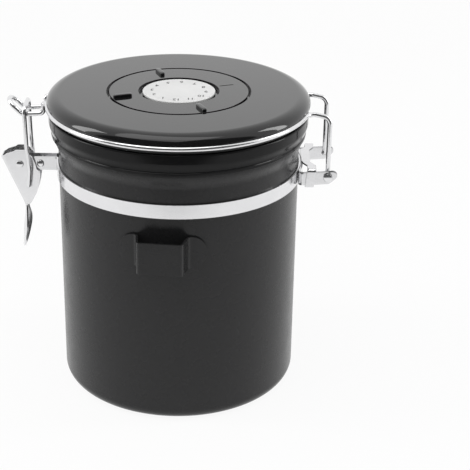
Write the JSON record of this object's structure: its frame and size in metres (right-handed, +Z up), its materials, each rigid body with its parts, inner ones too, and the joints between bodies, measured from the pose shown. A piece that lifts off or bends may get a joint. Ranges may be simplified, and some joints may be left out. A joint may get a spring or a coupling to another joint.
{
  "type": "coffee canister",
  "caption": "Cylindrical steel storage canister with a wire-hinged lid, over-centre latch, turning month ring, one-way lid valve and a scoop holder.",
  "frame": {"origin": "centre of the flat base, on the body's axis", "axes": "+Z up the body's axis, +X to the hinge, -X to the latch, -Y to the scoop holder"},
  "size_m": [0.1676, 0.136, 0.1547],
  "materials": {
    "satin_black_steel": "satin black paint",
    "gloss_black_plastic": "high gloss",
    "satin_black_plastic": "satin",
    "black_silicone": "matte",
    "polished_steel": "polished",
    "white_dial": "printed white card under clear lacquer"
  },
  "bodies": {
    "can": {"can_body": "satin_black_steel", "rim_collar": "gloss_black_plastic", "clamp_band": "polished_steel", "band_rivet": "polished_steel", "lever_pin": "polished_steel", "hinge_bracket": "polished_steel", "hinge_keeper": "polished_steel", "scoop_holder": "satin_black_steel"},
    "lid": {"lid_wire": "polished_steel", "lid_cover": "gloss_black_plastic", "dial_plate": "white_dial", "dial_hub": "gloss_black_plastic", "hub_screw": "polished_steel", "lid_insert": "satin_black_plastic", "lid_gasket": "black_silicone", "valve_cap": "satin_black_plastic", "valve_screen": "polished_steel"},
    "month_ring": {"date_ring": "gloss_black_plastic"},
    "valve": {"valve_disc": "black_silicone"},
    "lever": {"latch_lever": "polished_steel"},
    "bail": {"latch_bail": "polished_steel"}
  },
  "joints": [
    {"name": "lid_hinge", "type": "hinge", "parent": "can", "child": "lid", "pos_m": [0.074, 0, 0.1153], "axis": [0, 1, 0], "range_deg": [0, 105]},
    {"name": "latch_lever_turn", "type": "hinge", "parent": "can", "child": "lever", "pos_m": [-0.0796, 0, 0.11425], "axis": [0, 1, 0], "range_deg": [0, 100]},
    {"name": "bail_swing", "type": "hinge", "parent": "lever", "child": "bail", "pos_m": [-0.0752, 0, 0.10345], "axis": [0, 1, 0], "range_deg": [-78, 0]},
    {"name": "month_ring_turn", "type": "hinge", "parent": "lid", "child": "month_ring", "pos_m": [0, 0, 0.1515], "axis": [0, 0, 1], "continuous": true},
    {"name": "valve_lift", "type": "slide", "parent": "lid", "child": "valve", "axis": [0, 0, 1], "range_m": [0, 0.0008]}
  ],
  "couplings": [
    {"joint": "bail_swing", "follows": "latch_lever_turn", "ratio": -0.78}
  ]
}
